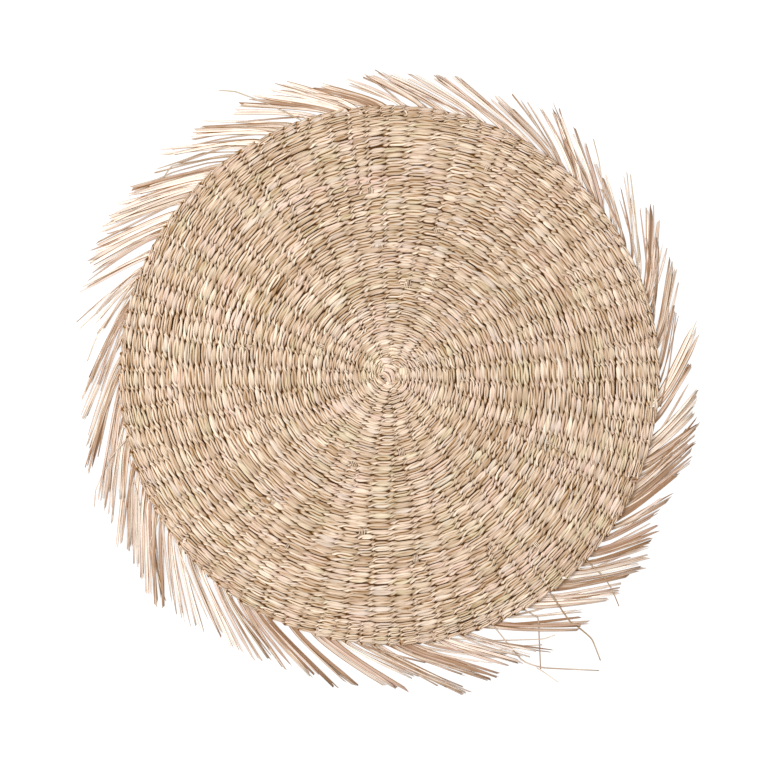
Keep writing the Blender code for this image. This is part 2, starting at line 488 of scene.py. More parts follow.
FIBRE_CONTRAST = 1.45
STREAK_CONTRAST = 1.05
DRIFT_CONTRAST = 0.20
TONE_STOPS = (0.05, 0.47, 0.9)
SPLIT_WIDTH = 0.04
SPLIT_STREAKS = (0.62, 0.42)
SHALLOW_STEP = (0.05, 0.55)
DEEP_STEP = (0.42, 0.9)
ROUGHNESS = 0.5
FIBRE_ROUGHNESS = 0.25
FIBRE_RELIEF = 0.5
RELIEF_STRENGTH = 0.7
RELIEF_HEIGHT = 0.25 * MM
SHINE = 0.12


def seagrass(name, tones, shade_tones, split_shade_strength):
    """Dried grass: tones run from dark to light, then come two tones of painted shade, and the strength of
    the painted shade in the splits.
    """
    material, start, shader = new_material(name)
    tint = start.node("ShaderNodeAttribute", {"attribute_name": "tint"}, out=1)
    grain = start.node("ShaderNodeAttribute", {"attribute_name": "grain"}, out=1)
    light, hue, painted_shade = (start.node("ShaderNodeSeparateXYZ", sockets={0: tint}, out=k) for k in range(3))
    fibre, streak, drift = (grain.noise(kind) for kind in (FIBRE, STREAK, DRIFT))
    tone = light + (fibre - 0.5) * FIBRE_CONTRAST + (streak - 0.5) * STREAK_CONTRAST
    tone = (tone + (drift - 0.5) * DRIFT_CONTRAST).clamp()
    colour = tone.node("ShaderNodeValToRGB", {"stops": tuple(zip(TONE_STOPS, tones))}, {0: tone})
    colour = hue.tinge(HUE_TINGE).mix(colour, KHAKI)
    colour = (0 - hue).tinge(HUE_TINGE).mix(colour, ROSE)
    colour = grain.noise(SILVERED).tinge(SILVER_TINGE).mix(colour, SILVER)
    colour = grain.noise(FLECK).tinge(RUST_TINGE).mix(colour, RUST)
    shade_tone, deep_shade_tone = shade_tones
    # Painted shade in thin splits between the fibres: long dark lines where a slow noise passes its middle
    # value.
    level = grain.noise(SPLIT) - 0.5
    split_shade = (1 - level.maths("ABSOLUTE", level).smooth(0.0, SPLIT_WIDTH)) * streak.smooth(*SPLIT_STREAKS)
    colour = (split_shade * split_shade_strength).mix(colour, shade_tone)
    # Painted shade: a warm brown and then a deep one where the place lies in a furrow or at a curled edge.
    colour = painted_shade.smooth(*SHALLOW_STEP).mix(colour, shade_tone)
    colour = painted_shade.smooth(*DEEP_STEP).mix(colour, deep_shade_tone)
    links = material.node_tree.links
    links.new(colour.socket, shader.inputs["Base Color"])
    links.new((ROUGHNESS + fibre * FIBRE_ROUGHNESS).socket, shader.inputs["Roughness"])
    relief = fibre * FIBRE_RELIEF + streak
    bump = relief.node("ShaderNodeBump", sockets={
        "Strength": RELIEF_STRENGTH, "Distance": RELIEF_HEIGHT, "Height": relief})
    links.new(bump.socket, shader.inputs["Normal"])
    shader.inputs["Specular IOR Level"].default_value = SHINE
    return material


weft_material = seagrass("twined_seagrass_look", (TAN, STRAW, CREAM), (RUSSET_SHADE, UMBER_SHADE), 0.75)
fringe_material = seagrass("fringe_seagrass_look", (BRONZE, FLAX, PALE), (COPPER_SHADE, RUSSET_SHADE), 0.3)
print("materials:", weft_material.name, fringe_material.name)

# %% [markdown]
# ## The weft
# Between two spokes the strands change places: the one on top dives, the other comes up. That is
# half a twist for every spoke, so the middle of a strand runs on a flattened helix round the
# middle of its row. Its section turns with it, flat over a spoke and on edge in between, which
# gives each stitch its leaf shape and its slant. The section's outer face has two fibres with a
# groove between them that wanders, and its inner face, which never shows, is plain. Each strand
# is spliced from shorter blades, and every splice changes the colour a little. Shade is painted
# on where the strand sinks towards the middle of the cloth and in the groove, and in the last
# rows the places where a strand dives are painted a little darker, as the shade between rows
# packed so tight.

# %% Weft
SECTION = named_rows(
    "across out fibre groove",
    (1.00, 0.00, 1, 0.0),
    (0.95, 0.62, 1, 0.0),
    (0.66, 0.98, 1, 0.0),
    (0.26, 0.96, 1, 0.2),
    (0.00, 0.85, 1, 1.0),
    (-0.26, 0.96, 0, 0.2),
    (-0.66, 0.98, 0, 0.0),
    (-0.95, 0.62, 0, 0.0),
    (-1.00, 0.00, 0, 0.0),
    (-0.60, -0.75, 0, 0.0),
    (0.60, -0.75, 1, 0.0),
)
FIBRES = 2
STEPS_A_STITCH = 8
CROSSING_SPREAD = 0.10
CROSSING_LIMIT = 0.24
WIDTH_SHARE = 1.04
HUB_WIDTH_SHARE = 1.18
HUB_REACH = 45 * MM
HUB_LIGHT = 0.12
EDGE_ON_SHARE = 0.84
TUCKED_WIDTH = 0.12
WIDTH_NOISE = 0.06
WIDTH_JITTER = 0.05
WIDTH_BY_FULLNESS = 0.2
WIDTH_BY_SLACK = 0.07
STRAND_HALF_HEIGHT = 0.87 * MM
HEIGHT_NOISE = 0.12
FULL_PITCH = 3.6 * MM
THIN_STRAND = 0.84
THICK_STRAND = 1.05
PLUMPNESS = 0.28
DIVE_SHARPNESS = 0.38
RISE_JITTER = 0.09
SLANT_SHARE = 0.118
SLANT_EVENNESS = 0.11
SLANT_NOISE = 0.05
SLANT_JITTER = 0.04
FIBRE_HEIGHT = 0.12
FIBRE_LIGHT = 0.18
GROOVE_DEPTH = 0.85
GROOVE_SWAY = 0.28
GROOVE_HOLD = 0.34
GROOVE_LIMIT = 0.45
GROOVE_OPEN = 0.6
GROOVE_OPEN_NOISE = 1.3
GROOVE_OPEN_TWIST = 0.15
STRAND_NOISE_LENGTH = 22 * MM
FIBRE_NOISE_LENGTH = 13 * MM
LIGHT_NOISE_LENGTH = 18 * MM
GROOVE_NOISE_LENGTH = 15 * MM
# Painted shade on the weft: how near the middle of the cloth it starts, how much the groove gets, and how
# strong and how wide it is in the last rows.
SHADE_DEPTH = 0.50
GROOVE_SHADE = 0.95
RIM_SHADE = 0.3
RIM_SHADE_WIDTH = 6 * MM
LIGHT_JITTER = 0.05
HUE_BY_PATCH = 0.35
HUE_PATCH_SCALE = 1.3
HUE_PATCH_TURN = 2
GRAIN_STEP = 0.3
SPLICE_LENGTHS = (30 * MM, 220 * MM)
SPLICE_LIGHTS = (0.50, 0.07)
SPLICE_HUES = (0, 0.28)
SKIN = 0.03 * MM


def splices(along, rng):
    """(lightness, hue) along a strand: each spliced blade has its own."""
    ends = np.cumsum(rng.uniform(*SPLICE_LENGTHS, int(along.max() / SPLICE_LENGTHS[0]) + 2))
    blade = np.searchsorted(ends, along)
    light = rng.normal(*SPLICE_LIGHTS, len(ends) + 1)[blade]
    hue = rng.normal(*SPLICE_HUES, len(ends) + 1)[blade]
    return light, hue


def strand_course(angles, rng):
    """(phase, angle, radius, room, along) at each step of a strand past spokes at these angles."""
    count = len(angles)
    phase = np.arange(count * STEPS_A_STITCH + 1) / STEPS_A_STITCH
    knots = np.arange(-1, count + 1) + 0.5
    knots[1:-1] += np.clip(rng.normal(0, CROSSING_SPREAD, count), -CROSSING_LIMIT, CROSSING_LIMIT)
    ends = np.concatenate([[2 * angles[0] - angles[1]], angles, [2 * angles[-1] - angles[-2]]])
    angle = np.interp(phase, knots, ends)
    radius, room = row_place(angle / TURN)
    along = np.concatenate([[0], np.cumsum(np.hypot(np.diff(angle) * radius[1:], np.diff(radius)))])
    return phase, angle, radius, room, along


def twined_strand(angles, fullness, which, rng):
    """One of the two strands of the spiral, as it passes the spokes at these angles."""
    phase, angle, radius, room, along = strand_course(angles, rng)
    stitch = np.minimum(phase.astype(int), len(angles) - 1)
    jitter = rng.normal(0, 1, (4, len(angles)))[:, stitch]
    wide, high, sway = smooth_noise(along, STRAND_NOISE_LENGTH, rng, 3)
    fibre_high = smooth_noise(along, FIBRE_NOISE_LENGTH, rng, FIBRES)
    fibre_light = smooth_noise(along, LIGHT_NOISE_LENGTH, rng, FIBRES)
    groove_side, groove_open = smooth_noise(along, GROOVE_NOISE_LENGTH, rng, 2)
    across, out, fibre, groove = np.array(SECTION).T
    fibre = fibre.astype(int)

    # The strand as a whole: its width, height, rise and slant at each step.
    pitch = pitch_at(radius) + room
    twist = math.pi * (phase + which)
    sharp = twist + DIVE_SHARPNESS * np.sin(2 * twist)
    over = np.abs(np.sin(sharp))
    tuck = np.clip(full_turns + 1 - angle / TURN, TUCKED_WIDTH, 1)
    share = np.interp(radius, (SPIRAL_START, HUB_REACH), (HUB_WIDTH_SHARE, WIDTH_SHARE))
    half_width = pitch / 2 * share * tuck * (EDGE_ON_SHARE + (1 - EDGE_ON_SHARE) * over)
    swell = 1 + WIDTH_NOISE * wide + WIDTH_JITTER * jitter[0] + WIDTH_BY_FULLNESS * (fullness[stitch] - 1)
    half_width = half_width * (swell - WIDTH_BY_SLACK * slackness(radius, angle))
    thickness_share = np.clip(pitch / FULL_PITCH, THIN_STRAND, THICK_STRAND)
    half_height = STRAND_HALF_HEIGHT * (1 + HEIGHT_NOISE * high) * thickness_share
    rise = (MIDDLE - half_height) * np.sin(sharp) * (1 - RISE_JITTER * np.abs(jitter[1]))
    slant = pitch * SLANT_SHARE * (np.cos(twist) + SLANT_EVENNESS * np.cos(3 * twist))
    slant = slant + (SLANT_NOISE * sway + SLANT_JITTER * jitter[2]) * pitch

    # Its section, turned by the twist.
    openness = GROOVE_OPEN + GROOVE_OPEN_NOISE * groove_open - GROOVE_OPEN_TWIST * np.cos(2 * twist)
    grooved = groove * np.clip(openness, 0, 1)[:, None]
    groove_at = GROOVE_SWAY * groove_side + GROOVE_HOLD * np.cos(sharp)
    groove_at = np.clip(groove_at, -GROOVE_LIMIT, GROOVE_LIMIT)
    x = half_width[:, None] * (across + groove_at[:, None] * (1 - across ** 2))
    thick = half_height * (1 + PLUMPNESS * (1 - over))
    y = thick[:, None] * out * (1 + FIBRE_HEIGHT * fibre_high[fibre].T) * (1 - GROOVE_DEPTH * grooved)
    lean_cos, lean_sin = np.cos(sharp)[:, None], np.sin(sharp)[:, None]
    offset = slant[:, None] + y * lean_cos - x * lean_sin
    height = np.clip(MIDDLE + rise[:, None] + y * lean_sin + x * lean_cos, SKIN, THICKNESS + 4 * SKIN)
    points = place(radius[:, None] + offset, angle[:, None], height)

    # What the material needs to know.
    light, hue = splices(along, rng)
    light = light + HUB_LIGHT * np.clip(1 - radius / HUB_REACH, 0, 1) + LIGHT_JITTER * jitter[3]
    light = light[:, None] + FIBRE_LIGHT * fibre_light[fibre].T
    hue = hue + HUE_BY_PATCH * slackness(radius * HUE_PATCH_SCALE, angle + HUE_PATCH_TURN)
    # Painted shade: darker where the strand sinks towards the middle of the cloth, in the groove between
    # its fibres, and where it dives in the last rows.
    depth = np.abs(height - MIDDLE) / MIDDLE
    rim_shade_mask = np.clip((radius - DISC_RADIUS) / RIM_SHADE_WIDTH + 1, 0, 1) * (1 - over)
    painted_weft_shade = np.clip(1 - depth / SHADE_DEPTH, 0, 1) + GROOVE_SHADE * grooved + RIM_SHADE * rim_shade_mask[:, None]
    grain_round = np.cumsum(np.hypot(np.diff(across, prepend=1.0), GRAIN_STEP)) * half_width.mean()
    grain = together(along[:, None], grain_round, rng.uniform(0, GRAIN_SLICES))
    return Tube(points, grain, together(light, hue[:, None], painted_weft_shade), STEPS_A_STITCH)


def cut(tube, first, last):
    """The stretch of a tube between two of its stitches."""
    part = slice(first * STEPS_A_STITCH, last * STEPS_A_STITCH + 1)
    return Tube(tube.points[part], tube.grain[part], tube.tint[part], tube.steps_a_cell)


BANDS = 6
wound = crossing_angles < TURN * (full_turns + 1)
strands = [twined_strand(crossing_angles[wound], crossing_fullness[wound], which, draw) for which in (0, 1)]
band_ends = np.linspace(0, wound.sum(), BANDS + 1).astype(int)
weft_pieces = []
for band, (first, last) in enumerate(zip(band_ends, band_ends[1:]), start=1):
    stretches = [cut(strand, first, last) for strand in strands]
    weft_pieces.append(tubes_to_object(f"weft_band_{band}", stretches, weft_material))

# %% [markdown]
# ## The ground of spokes
# Under the stitches lie the spokes themselves, flat bundles that the weft almost hides. They are
# modelled as one thin ribbed sheet, a rib for each spoke, because only slivers of them show in
# the furrows. The sheet is the cloth's body.

# %% Ground
GROUND_RINGS = 22
GROUND_SECTORS = 200
GROUND_INSET = 1.0 * MM
GROUND_STARTS = (0.4 * MM, 4 * MM)
GROUND_GRAIN = (60 * MM, 3.0)
# Painted shade: the spokes under the weft are coloured with nearly the deepest shade tone, as they only
# show deep in the gaps.
GROUND_TINT_AND_SHADE = (0.35, 0.1, 0.9)
GROUND_STEPS_A_CELL = 4
RIB_HALF = 0.35 * MM
WEB_HALF = 0.15 * MM
RIB_SHARE = 0.6


def rib_height(radius, angle):
    """1 on a spoke and 0 between spokes, at each place of the ground."""
    turns = np.interp(radius, spiral, spiral_turns)
    spokes = spoke_rows[min(int(turns), len(spoke_rows) - 1)][0]
    ends = np.concatenate([[spokes[-1] - TURN], spokes, [spokes[0] + TURN]])
    nearest = np.abs(angle[:, None] - ends[None, :]).min(axis=1)
    room = math.pi / len(spokes)
    return np.clip(1 - (nearest / room / RIB_SHARE) ** 2, 0, 1)


def ground_tube():
    """The sheet as a closed tube round the disc: over its top, round the rim and back below."""
    hole, second = GROUND_STARTS
    radii = np.concatenate([[hole], np.linspace(second, DISC_RADIUS - GROUND_INSET, GROUND_RINGS)])
    angle = np.linspace(0, TURN, GROUND_SECTORS, endpoint=False)
    half = np.array([WEB_HALF + (RIB_HALF - WEB_HALF) * rib_height(r, angle) for r in radii])
    top = place(radii[:, None], angle[None, :], MIDDLE + half)
    below = place(radii[::-1, None], angle[None, :], MIDDLE - half[::-1])
    points = np.concatenate([top, below])
    reach = np.concatenate([radii, radii[::-1]])
    grain_round, grain_slice = GROUND_GRAIN
    grain = together(reach[:, None], angle * grain_round, grain_slice)
    tint = np.broadcast_to(GROUND_TINT_AND_SHADE, points.shape)
    return Tube(points[:, ::-1], grain[:, ::-1], tint, GROUND_STEPS_A_CELL)


ground = tubes_to_object("spoke_ground", [ground_tube()], weft_material)

# %% [markdown]
# ## Ribbons
# The start of the weft, the tucked ends of new spokes and the fringe are all single blades on a
# path of their own. A dried blade is a shallow channel with curled edges, so one section serves
# them all, with a width, a height and a roll at every step of the path.

# %% Ribbons
# The last column is the shade painted at each point of the section: full at the curled edges, some in the
# middle of the channel and below.
BLADE_SECTION = named_rows(
    "across out sunk",
    (1.00, 0.10, 1.0),
    (0.80, 0.85, 1.0),
    (0.60, 1.00, 0.1),
    (0.18, 0.62, 0.0),
    (0.03, 0.35, 0.6),
    (-0.12, 0.62, 0.0),
    (-0.60, 1.00, 0.1),
    (-0.80, 0.85, 1.0),
    (-1.00, 0.10, 1.0),
    (0.00, -0.80, 0.5),
)
EDGE_SHADE_UNEVENNESS = 0.8


def bend_path(corners, count):
    """A smooth path of so many points through a few corners."""
    corners = np.array(corners, float)
    ends = np.vstack([2 * corners[0] - corners[1], corners, 2 * corners[-1] - corners[-2]])
    spans = len(corners) - 1
    at = np.linspace(0, spans, count)
    span = np.minimum(at.astype(int), spans - 1)
    t = (at - span)[:, None]
    a, b, c, d = (ends[span + k] for k in range(4))
    return 0.5 * (2 * b + (c - a) * t + (2 * a - 5 * b + 4 * c - d) * t ** 2
                  + (3 * b - a - 3 * c + d) * t ** 3)


def ribbon(path, half_width, half_height, roll, light, hue, edge_shade, rng):
    """A blade along a path of points: widths, heights and rolls are given step by step, and one strength
    for the shade painted at its curled edges.
    """
    ahead = np.gradient(path, axis=0)
    ahead /= np.linalg.norm(ahead, axis=1)[:, None]
    side = np.cross(ahead, (0, 0, 1))
    side /= np.linalg.norm(side, axis=1)[:, None]
    up = np.cross(side, ahead)
    across, out, painted_shade = np.array(BLADE_SECTION).T
    roll = np.broadcast_to(roll, len(path))[:, None, None]
    flat = side[:, None] * np.cos(roll) + up[:, None] * np.sin(roll)
    lift = up[:, None] * np.cos(roll) - side[:, None] * np.sin(roll)
    half_width = np.broadcast_to(half_width, len(path))
    half_height = np.broadcast_to(half_height, len(path))
    points = (path[:, None] + flat * (half_width[:, None] * across)[..., None]
              + lift * (half_height[:, None] * out)[..., None])
    lengths = np.linalg.norm(np.diff(path, axis=0), axis=1)
    along = rng.uniform(0, 1) + np.concatenate([[0], np.cumsum(lengths)])
    grain = together(along[:, None], across * half_width.mean(), rng.uniform(0, GRAIN_SLICES))
    light = np.broadcast_to(light, len(path))[:, None]
    # One curled edge gets more painted shade than the other.
    shadier_edge = 1 + rng.uniform(-EDGE_SHADE_UNEVENNESS, EDGE_SHADE_UNEVENNESS) * across
    return Tube(points, grain, together(light, hue, edge_shade * (painted_shade * shadier_edge)), len(path) - 1)


# %% [markdown]
# ## The hub
# The first spokes cross at the middle, and the start of the weft curls over them: three strands
# come in from the left and bend round the middle, one above the other, and a thin one makes a
# small open loop beside them. The first stitches are wide and flat, so they show as smooth
# patches round the middle. The first two rows of the table are the spokes that cross underneath.

# %% Hub
HUB_STRANDS = named_rows(
    "width light hue corners",
    (6.5, 0.65, 0.0, ((-7.0, -3.0, 1.4), (0.0, -1.0, 2.3), (7.0, 1.0, 1.4))),
    (6.5, 0.70, 0.0, ((-2.0, 7.0, 1.4), (0.0, 0.0, 2.5), (2.0, -7.0, 1.4))),
    (5.0, 0.85, -0.9, ((-7.2, 9.6, 2.2), (-4.4, 10.6, 3.4), (-1.0, 10.6, 3.5), (2.6, 9.6, 2.2))),
    (6.0, 0.65, 0.3, ((-1.4, 17.0, 2.4), (1.4, 17.5, 3.4), (4.4, 17.0, 3.4), (6.8, 16.0, 2.4))),
    (7.0, 0.75, 0.6, ((8.6, 6.4, 2.2), (9.4, 4.0, 3.4), (9.4, 1.4, 3.4), (8.6, -1.0, 2.2))),
    (4.2, 0.62, -0.2, ((-9.2, -1.2, 2.2), (-7.4, -3.4, 3.4), (-5.2, -4.9, 3.5), (-2.8, -6.2, 2.2))),
    (2.2, 0.65, -0.3, ((-8.2, 0.8, 2.2), (-6.4, 1.0, 3.3), (-4.6, 1.4, 2.4))),
    (3.0, 0.50, 0.0, ((1.6, -5.0, 2.2), (4.0, -4.6, 3.3), (6.8, -3.0, 2.2))),
    (4.8, 0.45, 0.1, ((4.0, 2.4, 2.2), (4.7, 0.4, 3.2), (4.9, -2.6, 2.4))),
    (1.4, 0.60, 0.2, ((3.3, 6.9, 2.4), (4.2, 8.8, 3.3), (6.3, 8.7, 3.4), (6.9, 6.6, 3.2), (5.0, 5.2, 2.6))),
    (3.2, 0.60, -0.7, ((-6.2, 1.9, 2.2), (-3.8, 1.3, 3.2), (-1.4, -0.9, 3.3), (-0.4, -3.6, 3.2),
                       (-0.2, -6.0, 2.4))),
    (3.4, 0.65, -0.8, ((-6.2, 4.2, 2.2), (-2.8, 4.2, 3.3), (0.6, 3.2, 3.5), (2.3, 0.3, 3.4),
                       (2.8, -3.4, 3.0), (3.0, -6.2, 2.2))),
    (2.8, 0.90, -0.5, ((-5.6, 7.0, 2.2), (-2.4, 6.6, 3.5), (0.6, 6.2, 3.6), (3.2, 5.0, 3.4),
                       (4.2, 3.4, 2.4))),
    (2.6, 0.95, 0.0, ((-2.4, -6.0, 2.2), (-0.8, -5.3, 3.6), (1.3, -5.6, 2.4))),
)
HUB_STEPS = 18
HUB_END_SHARE, HUB_SWELL = 0.75, 0.25
HUB_HALF_HEIGHT = 0.55 * MM
# Shade painted at the edges of the hub strands.
HUB_EDGE_SHADE = 0.30


def hub_strand(strand):
    """One of the strands at the hub, widest in its middle."""
    path = bend_path(strand.corners, HUB_STEPS) * MM
    share = np.linspace(0, math.pi, HUB_STEPS)
    half_width = strand.width * MM / 2 * (HUB_END_SHARE + HUB_SWELL * np.sin(share))
    return ribbon(path, half_width, HUB_HALF_HEIGHT, 0.0, strand.light, strand.hue, HUB_EDGE_SHADE, draw)


hub = tubes_to_object("hub_swirl", [hub_strand(strand) for strand in HUB_STRANDS], weft_material)

# %% [markdown]
# ## Tucked ends
# Where a new spoke was pushed in, its ends show as a few thin bits of grass that cross a row or
# two of the weft and vanish under the next.

# %% Tucked ends
NUB_STEPS = 8
NUB_LENGTH = 6.4 * MM
NUB_LENGTH_SHARES = (0.75, 1.1)
NUB_SPACING = 1.15 * MM
NUB_SPREAD = 0.12 * MM
NUB_LIFT = 0.1 * MM
NUB_ROUNDNESS = 0.45
NUB_HALF_WIDTHS = (0.36, 0.52)
NUB_HALF_HEIGHT = 0.3 * MM
NUB_ROLLS = (-0.3, 0.3)
NUB_LIGHTS = (0.45, 0.9)
NUB_HUES = (0, 0.3)
# Shade painted at the edges of the tucked ends.
NUB_EDGE_SHADE = 1.0


def nub_blade(nub, number):
    """One of the bits of grass of a tucked end."""
    sideways = (number - (nub.blades - 1) / 2) * NUB_SPACING
    length = NUB_LENGTH * draw.uniform(*NUB_LENGTH_SHARES)
    radius = nub.radius * MM + np.linspace(-0.5, 0.5, NUB_STEPS) * length
    angle = math.radians(nub.angle) + (sideways + draw.normal(0, NUB_SPREAD)) / radius
    arch = np.sin(np.linspace(0, math.pi, NUB_STEPS)) ** NUB_ROUNDNESS
    path = place(radius, angle, MIDDLE + NUB_LIFT + (MIDDLE - NUB_LIFT) * arch)
    return ribbon(path, draw.uniform(*NUB_HALF_WIDTHS) * MM, NUB_HALF_HEIGHT, draw.uniform(*NUB_ROLLS),
                  draw.uniform(*NUB_LIGHTS), draw.normal(*NUB_HUES), NUB_EDGE_SHADE, draw)


nubs = tubes_to_object("tucked_ends", [nub_blade(nub, k) for nub in NUBS for k in range(nub.blades)],
                       weft_material)

# %% [markdown]
# ## The fringe
# Past the last row the spokes are loose sheaves of flat split blades. They leave the rim at a
# slant, all swept the same way, lie nearly flat on the table and were cut with shears. A
# particle system could scatter them, but their clumps and gaps make the outline of the mat, so
# a table gives each sheaf's place: where it leaves the rim, where its tips lie, how many blades
# it has, how wide they are, and how light they are. A second table has the loose stems that
# stray across the fringe, corner by corner.

# %% Fringe table
SHEAVES = named_rows(
    "root tip reach blades width light",
    (1, 14, 207, 3, 1.6, 0.5), (7, 21, 216, 5, 2.2, 0.6), (12, 27, 212, 2, 1.2, 0.4),
    (16, 25, 215, 3, 1.4, 0.6), (17, 32, 219, 3, 2.8, 0.4), (21, 36, 214, 2, 1.4, 0.7),
    (25, 40, 220, 2, 1.3, 0.6), (29, 43, 208, 2, 1.3, 0.7), (32, 46, 211, 3, 1.5, 0.6),
    (37, 50, 214, 3, 1.5, 0.5), (40, 53, 217, 3, 2.6, 0.6), (45, 57, 220, 4, 2.4, 0.4),
    (46, 60, 217, 3, 1.6, 0.4), (50, 64, 216, 3, 1.3, 0.3), (51, 69, 213, 4, 1.4, 0.4),
    (56, 77, 215, 4, 1.8, 0.6), (58, 81, 214, 4, 1.5, 0.3), (63, 80, 213, 4, 1.8, 0.6),
    (69, 86, 213, 4, 2.0, 0.3), (73, 90, 212, 4, 2.0, 0.7), (78, 92, 213, 4, 1.7, 0.6),
    (82, 94, 213, 4, 1.8, 0.4), (86, 98, 211, 4, 1.8, 0.6), (92, 104, 210, 5, 2.9, 0.5),
    (98, 111, 218, 5, 2.5, 0.6), (100, 115, 218, 4, 3.2, 0.8), (102, 119, 218, 3, 2.0, 0.5),
    (106, 120, 216, 3, 1.7, 0.6), (111, 127, 222, 4, 1.8, 0.6), (115, 129, 221, 4, 2.4, 0.8),
    (119, 134, 220, 3, 2.4, 0.6), (124, 139, 219, 2, 1.2, 0.6), (128, 142, 216, 3, 1.2, 0.5),
    (121, 136, 226, 3, 1.8, 0.6), (130, 144, 225, 4, 2.0, 0.7), (139, 153, 228, 4, 2.0, 0.8),
    (132, 146, 224, 5, 3.0, 0.9), (136, 150, 226, 5, 2.8, 0.7), (144, 158, 225, 5, 3.2, 0.9),
    (148, 160, 224, 4, 1.8, 0.7), (153, 164, 226, 4, 1.7, 0.7), (156, 168, 214, 4, 1.4, 0.7),
    (159, 172, 211, 3, 1.7, 0.6), (162, 181, 214, 3, 1.3, 0.3), (166, 184, 217, 3, 1.5, 0.4),
    (171, 188, 218, 3, 1.5, 0.5), (175, 193, 219, 3, 1.5, 0.2), (178, 197, 222, 4, 1.7, 0.3),
    (157, 171, 226, 2, 1.4, 0.8),
    (181, 203, 222, 3, 1.5, 0.4), (184, 205, 223, 2, 1.9, 0.8), (189, 207, 221, 3, 1.6, 0.3),
    (192, 205, 209, 3, 1.4, 0.5), (195, 212, 226, 3, 1.7, 0.7), (198, 213, 219, 3, 2.3, 0.6),
    (201, 217, 223, 3, 1.5, 0.4), (204, 219, 225, 4, 1.9, 0.6), (206, 222, 229, 4, 2.0, 0.5),
    (209, 224, 230, 3, 1.8, 0.4), (212, 226, 228, 3, 2.2, 0.6), (215, 229, 225, 4, 1.6, 0.6),
    (218, 233, 222, 4, 2.0, 0.7), (221, 237, 220, 3, 1.8, 0.6), (225, 241, 221, 3, 1.8, 0.6),
    (229, 245, 222, 4, 1.8, 0.4), (232, 247, 219, 4, 1.7, 0.3), (236, 250, 220, 4, 2.2, 0.4),
    (239, 256, 219, 4, 2.0, 0.4),
    (242, 260, 223, 4, 1.5, 0.2), (248, 263, 220, 4, 2.4, 0.2), (255, 271, 221, 5, 2.8, 0.1),
    (259, 275, 214, 4, 1.7, 0.3), (263, 283, 230, 4, 1.6, 0.3), (266, 280, 222, 4, 1.6, 0.4),
    (270, 286, 219, 3, 1.5, 0.4), (273, 289, 226, 5, 2.4, 0.3), (277, 292, 214, 4, 1.6, 0.5),
    (281, 294, 221, 5, 2.0, 0.5), (286, 297, 222, 3, 1.5, 0.5), (292, 308, 223, 5, 1.9, 0.0),
    (296, 309, 215, 3, 1.5, 0.6), (301, 314, 220, 4, 1.8, 0.3), (304, 317, 222, 4, 1.8, 0.5),
    (307, 320, 219, 3, 1.8, 0.4), (309, 322, 223, 4, 1.8, 0.3), (312, 324, 221, 4, 2.2, 0.4),
    (315, 327, 217, 3, 1.8, 0.4), (318, 329, 220, 4, 2.6, 0.4), (322, 333, 212, 4, 1.9, 0.2),
    (325, 336, 215, 4, 1.8, 0.1), (328, 341, 214, 4, 1.8, 0.2), (330, 345, 220, 4, 1.8, 0.2),
    (333, 346, 217, 4, 1.8, 0.2), (335, 351, 219, 3, 1.8, 0.4), (337, 348, 220, 4, 1.9, 0.3),
    (341, 351, 219, 4, 3.0, 0.2), (343, 354, 217, 4, 1.8, 0.3), (346, 357, 217, 4, 1.9, 0.4),
    (350, 362, 212, 3, 1.6, 0.3), (354, 368, 219, 4, 2.8, 0.7), (357, 372, 207, 2, 1.0, 0.1),
)
STEMS = named_rows(
    "sector width light corners",
    (10, 1.1, 0.2, ((88, -161), (104, -170), (105, -184), (106, -206))),
    (10, 0.8, 0.8, ((103, -205), (108, -208), (118, -215))),
    (11, 1.2, 0.1, ((111, -150), (126, -172), (133, -177), (142, -185), (148, -200))),
    (11, 1.0, 0.2, ((136, -128), (150, -141), (156, -150), (161, -162))),
    (10, 1.1, 0.3, ((70, -172), (93, -200), (107, -205), (127, -206), (147, -207))),
    (10, 0.9, 0.4, ((34, -184), (66, -186), (107, -185), (116, -182))),
    (10, 0.9, 0.5, ((38, -183), (68, -194), (90, -190), (107, -189))),
    (5, 1.0, 0.3, ((-106, 157), (-131, 156), (-149, 149.5), (-163, 145))),
    (5, 1.0, 0.1, ((-108, 154), (-129, 151.5), (-152.5, 147), (-161, 135))),
    (5, 1.1, 0.1, ((-109, 151), (-128, 149), (-152, 142.5), (-175, 132))),
    (1, 1.1, 0.0, ((190, -22), (196, 5), (199, 26), (201, 44))),
    (1, 1.1, 0.4, ((173, 76), (175, 82), (172, 116), (169, 141))),
    (2, 1.0, 0.3, ((150, 112), (150, 128), (147, 150), (143, 166))),
    (6, 1.0, 0.5, ((-176, 62), (-192, 48), (-206, 26), (-212, 10))),
    (7, 0.9, 0.4, ((-182, -42), (-196, -58), (-206, -80), (-207, -92))),
    (8, 0.9, 0.4, ((-160, -96), (-168, -118), (-160, -150), (-157, -158))),
    (4, 1.0, 0.3, ((-60, 178), (-84, 190), (-108, 199), (-120, 200))),
)
print(f"{len(SHEAVES)} sheaves, {sum(sheaf.blades for sheaf in SHEAVES)} blades, {len(STEMS)} loose stems")

# %% [markdown]
# ## Laying the blades
# A blade's middle line starts inside the last rows, turns out of the rim and runs almost
# straight to its tip with a slight bow. About half of them climb over the last row on their way
# out. Blades of one sheaf lie side by side and overlap, and their ends are cut at slightly
# different lengths. Each is painted a little darker where it leaves the rim, as the shadow of the
# rim's edge. Thinner stems lie among them at angles of their own.

# %% Fringe blades
BLADE_STATIONS = 10
BLADE_FULLNESS = 1.08
BLADE_WIDTHS = (0.6, 1.3)
BLADE_HALF_HEIGHT = 0.30 * MM
BLADE_BOWS = (-1.0, 3.0)
BLADE_RESTS = (0.4, 1.7)
BLADE_HUES = (-0.2, 0.3)
